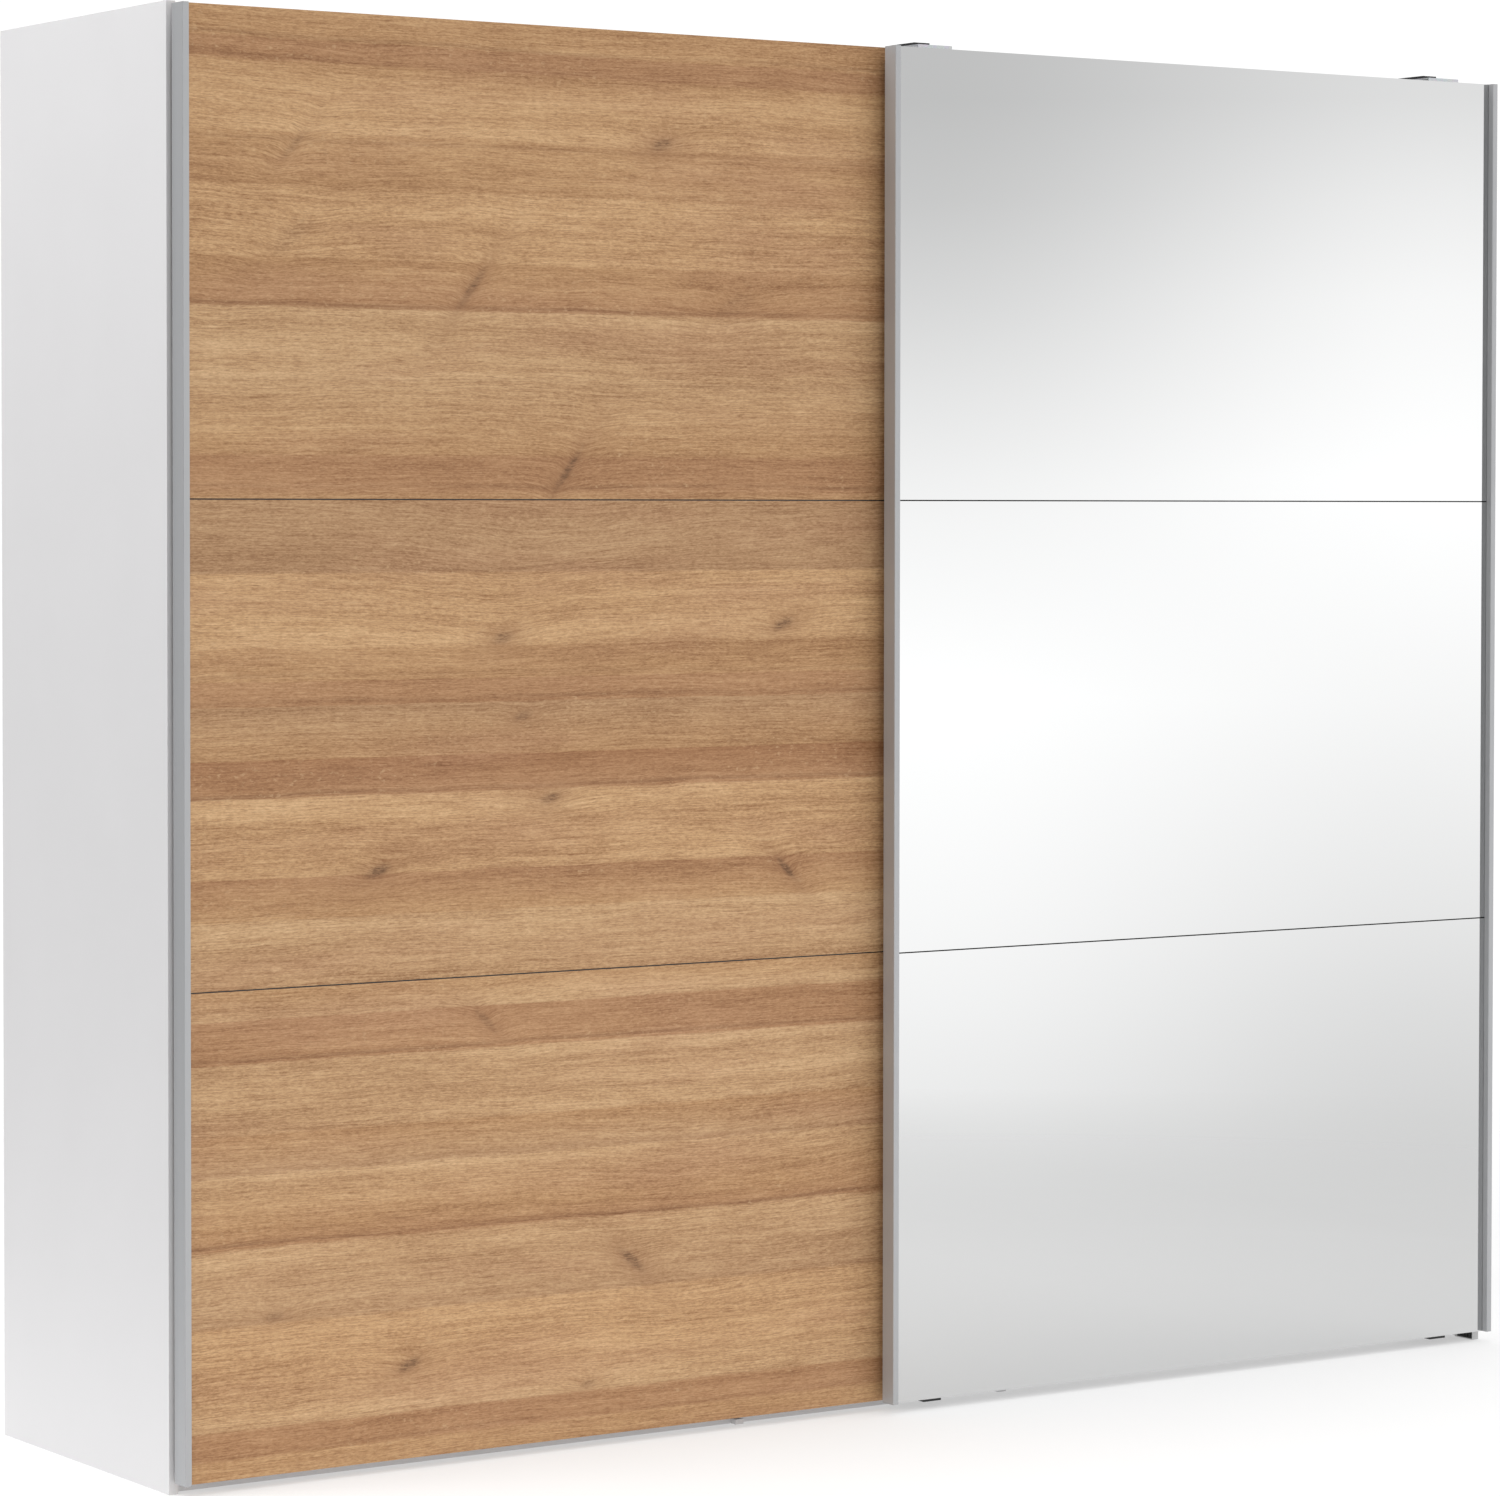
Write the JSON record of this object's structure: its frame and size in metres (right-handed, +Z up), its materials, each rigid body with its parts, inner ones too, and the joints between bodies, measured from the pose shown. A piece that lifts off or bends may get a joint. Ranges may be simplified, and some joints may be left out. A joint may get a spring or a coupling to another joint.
{
  "type": "sliding door wardrobe",
  "caption": "White wardrobe in bays with two overlapping sliding doors on a double track: oak-decor panels on the left, mirror panels on the right.",
  "frame": {"origin": "on the floor, in the middle of the overall width and depth", "axes": "+X to the viewer's right along the front, +Y from the doors to the back, +Z up"},
  "size_m": [2.5, 0.631, 2.169],
  "materials": {
    "white_melamine": "satin white melamine on particle board",
    "white_back": "smooth white hardboard",
    "white_plastic": "matt white",
    "edge_grey": "light grey edging",
    "black_seal": "black brush seal",
    "chromed_tube": "polished",
    "zinc_fittings": "bright zinc plated",
    "track_aluminium": "satin anodised",
    "grip_aluminium": "satin anodised",
    "grey_plastic": "matt grey",
    "black_plastic": "fine matt",
    "oak_decor": "oak decor with grain across the door",
    "mirror_glass": "silvered float glass",
    "backing_board": "white faced board",
    "joint_black": "black anodised",
    "plated_steel": "zinc plated sheet",
    "wheel_plastic": "smooth black nylon"
  },
  "bodies": {
    "carcass": {"left_side_panel": "white_melamine", "right_side_panel": "white_melamine", "left_partition": "white_melamine", "right_partition": "white_melamine", "left_top_panel": "white_melamine", "middle_top_panel": "white_melamine", "right_top_panel": "white_melamine", "left_bottom_panel": "white_melamine", "middle_bottom_panel": "white_melamine", "right_bottom_panel": "white_melamine", "left_plinth": "white_melamine", "middle_plinth": "white_melamine", "right_plinth": "white_melamine", "left_back_panel": "white_back", "middle_back_panel": "white_back", "right_back_panel": "white_back", "back_joint_strips": "white_plastic", "left_hat_shelf": "white_melamine", "right_hat_shelf": "white_melamine", "lower_shelf": "white_melamine", "centre_shelf": "white_melamine", "upper_shelf": "white_melamine", "left_clothes_rail": "chromed_tube", "right_clothes_rail": "chromed_tube", "rail_sockets": "zinc_fittings", "shelf_pins": "zinc_fittings", "running_track": "track_aluminium", "guide_rail": "grey_plastic", "side_strip": "edge_grey", "side_strip_seal": "black_seal", "track_end_stops": "black_plastic", "cam_locks": "zinc_fittings", "carcass_screws": "zinc_fittings", "wall_brackets": "zinc_fittings"},
    "left_door": {"left_door_top_panel": "oak_decor", "left_door_middle_panel": "oak_decor", "left_door_bottom_panel": "oak_decor", "left_door_outer_grip": "grip_aluminium", "left_door_inner_grip": "grip_aluminium", "left_door_joint_strips": "joint_black", "left_door_cross_rails": "plated_steel", "left_door_carriages": "plated_steel", "left_door_guides": "black_plastic", "left_door_fasteners": "zinc_fittings"},
    "right_door": {"right_door_top_mirror": "mirror_glass", "right_door_middle_mirror": "mirror_glass", "right_door_bottom_mirror": "mirror_glass", "right_door_backing_boards": "backing_board", "right_door_inner_grip": "grip_aluminium", "right_door_outer_grip": "grip_aluminium", "right_door_joint_strips": "joint_black", "right_door_cross_rails": "plated_steel", "right_door_carriages": "plated_steel", "right_door_carriage_caps": "black_plastic", "right_door_guides": "black_plastic", "right_door_fasteners": "zinc_fittings"},
    "left_door_left_wheel": {"left_door_left_wheel": "wheel_plastic"},
    "left_door_right_wheel": {"left_door_right_wheel": "wheel_plastic"},
    "right_door_left_wheel": {"right_door_left_wheel": "wheel_plastic"},
    "right_door_right_wheel": {"right_door_right_wheel": "wheel_plastic"}
  },
  "joints": [
    {"name": "left_door_slide", "type": "slide", "parent": "carcass", "child": "left_door", "axis": [1, 0, 0], "range_m": [0, 1.2]},
    {"name": "right_door_slide", "type": "slide", "parent": "carcass", "child": "right_door", "axis": [1, 0, 0], "range_m": [-1.2, 0]},
    {"name": "left_door_left_wheel_spin", "type": "hinge", "parent": "left_door", "child": "left_door_left_wheel", "pos_m": [-1.1475, -0.2225, 2.1328], "axis": [0, 1, 0], "continuous": true},
    {"name": "left_door_right_wheel_spin", "type": "hinge", "parent": "left_door", "child": "left_door_right_wheel", "pos_m": [-0.0805, -0.2225, 2.1328], "axis": [0, 1, 0], "continuous": true},
    {"name": "right_door_left_wheel_spin", "type": "hinge", "parent": "right_door", "child": "right_door_left_wheel", "pos_m": [0.0805, -0.1945, 2.1328], "axis": [0, 1, 0], "continuous": true},
    {"name": "right_door_right_wheel_spin", "type": "hinge", "parent": "right_door", "child": "right_door_right_wheel", "pos_m": [1.1475, -0.1945, 2.1328], "axis": [0, 1, 0], "continuous": true}
  ],
  "couplings": [
    {"joint": "left_door_left_wheel_spin", "follows": "left_door_slide", "rad_per_m": 80},
    {"joint": "left_door_right_wheel_spin", "follows": "left_door_slide", "rad_per_m": 80},
    {"joint": "right_door_left_wheel_spin", "follows": "right_door_slide", "rad_per_m": 80},
    {"joint": "right_door_right_wheel_spin", "follows": "right_door_slide", "rad_per_m": 80}
  ]
}
